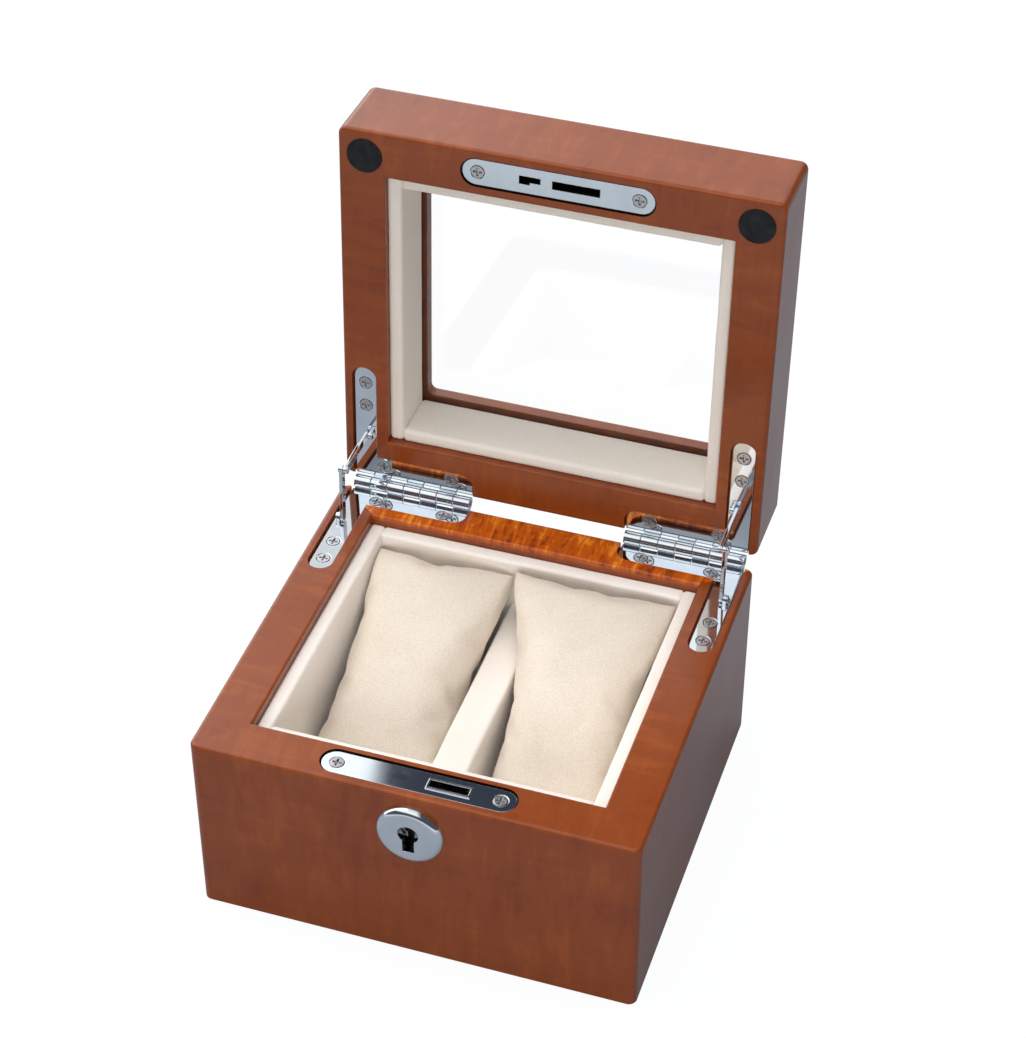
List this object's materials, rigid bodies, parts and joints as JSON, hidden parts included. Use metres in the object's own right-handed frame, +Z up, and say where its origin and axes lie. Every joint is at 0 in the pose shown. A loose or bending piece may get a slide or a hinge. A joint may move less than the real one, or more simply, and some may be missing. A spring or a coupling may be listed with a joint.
{
  "type": "watch box",
  "caption": "Hinged wooden watch box with a glazed lid standing open, cream suede lining, a divider, tilted pillows, folding lid stays and a hook lock.",
  "frame": {"origin": "under the middle of the base, on the felt's underside", "axes": "+X to the right seen from the front, +Y to the back where the hinges are, +Z up"},
  "size_m": [0.16, 0.1942, 0.2277],
  "materials": {
    "lacquered_wood": "satin lacquer over a reddish-brown stain",
    "panel_wood": "plain plywood",
    "lining_suede": "cream suede",
    "lid_suede": "cream suede",
    "pillow_suede": "cream suede, stuffed",
    "chrome": "polished",
    "lock_steel": "plain",
    "felt": "black felt",
    "glass": "clear",
    "bumper_rubber": "matt"
  },
  "bodies": {
    "base": {"front_wall": "lacquered_wood", "back_wall": "lacquered_wood", "left_wall": "lacquered_wood", "right_wall": "lacquered_wood", "bottom_panel": "panel_wood", "base_felt": "felt", "floor_pad": "lining_suede", "liner_front": "lining_suede", "liner_back": "lining_suede", "liner_left": "lining_suede", "liner_right": "lining_suede", "divider": "lining_suede", "lock_face_plate": "chrome", "lock_case": "lock_steel", "escutcheon": "chrome", "lock_screws": "chrome", "hinge_left_base_leaf": "chrome", "hinge_right_base_leaf": "chrome", "hinge_left_pin": "lock_steel", "hinge_right_pin": "lock_steel", "hinge_base_screws": "chrome", "stay_base_rivets": "chrome"},
    "lid": {"lid_front_rail": "lacquered_wood", "lid_back_rail": "lacquered_wood", "lid_left_rail": "lacquered_wood", "lid_right_rail": "lacquered_wood", "window_glass": "glass", "lid_liner_front": "lid_suede", "lid_liner_back": "lid_suede", "lid_liner_left": "lid_suede", "lid_liner_right": "lid_suede", "strike_plate": "chrome", "strike_screws": "chrome", "lid_bumper_left": "bumper_rubber", "lid_bumper_right": "bumper_rubber", "hinge_left_lid_leaf": "chrome", "hinge_right_lid_leaf": "chrome", "hinge_lid_screws": "chrome", "stay_lid_rivets": "chrome"},
    "lock": {"lock_barrel": "lock_steel", "lock_hook": "lock_steel"},
    "stay_left_lower": {"stay_left_lower_link": "chrome", "stay_left_knee_rivet": "chrome"},
    "stay_left_upper": {"stay_left_upper_link": "chrome"},
    "pillow_left": {"watch_pillow_left": "pillow_suede"},
    "stay_right_lower": {"stay_right_lower_link": "chrome", "stay_right_knee_rivet": "chrome"},
    "stay_right_upper": {"stay_right_upper_link": "chrome"},
    "pillow_right": {"watch_pillow_right": "pillow_suede"}
  },
  "joints": [
    {"name": "lid_hinge", "type": "hinge", "parent": "base", "child": "lid", "pos_m": [0, 0.0766, 0.07735], "axis": [-1, 0, 0], "range_deg": [-93, 0]},
    {"name": "lock_turn", "type": "hinge", "parent": "base", "child": "lock", "pos_m": [0, -0.0653, 0.062], "axis": [0, -1, 0], "range_deg": [0, 68]},
    {"name": "stay_left_lower_turn", "type": "hinge", "parent": "base", "child": "stay_left_lower", "pos_m": [-0.072, 0.0546, 0.07735], "axis": [-1, 0, 0], "range_deg": [-93, 0]},
    {"name": "stay_left_upper_turn", "type": "hinge", "parent": "lid", "child": "stay_left_upper", "pos_m": [-0.072, 0.07775, 0.09932], "axis": [-1, 0, 0], "range_deg": [0, 93]},
    {"name": "pillow_left_lift", "type": "slide", "parent": "base", "child": "pillow_left", "axis": [0, 0, 1], "range_m": [0, 0.025]},
    {"name": "stay_right_lower_turn", "type": "hinge", "parent": "base", "child": "stay_right_lower", "pos_m": [0.072, 0.0546, 0.07735], "axis": [-1, 0, 0], "range_deg": [-93, 0]},
    {"name": "stay_right_upper_turn", "type": "hinge", "parent": "lid", "child": "stay_right_upper", "pos_m": [0.072, 0.07775, 0.09932], "axis": [-1, 0, 0], "range_deg": [0, 93]},
    {"name": "pillow_right_lift", "type": "slide", "parent": "base", "child": "pillow_right", "axis": [0, 0, 1], "range_m": [0, 0.025]}
  ],
  "couplings": [
    {"joint": "stay_left_lower_turn", "follows": "lid_hinge", "ratio": 1},
    {"joint": "stay_left_upper_turn", "follows": "lid_hinge", "ratio": -1},
    {"joint": "stay_right_lower_turn", "follows": "lid_hinge", "ratio": 1},
    {"joint": "stay_right_upper_turn", "follows": "lid_hinge", "ratio": -1}
  ]
}
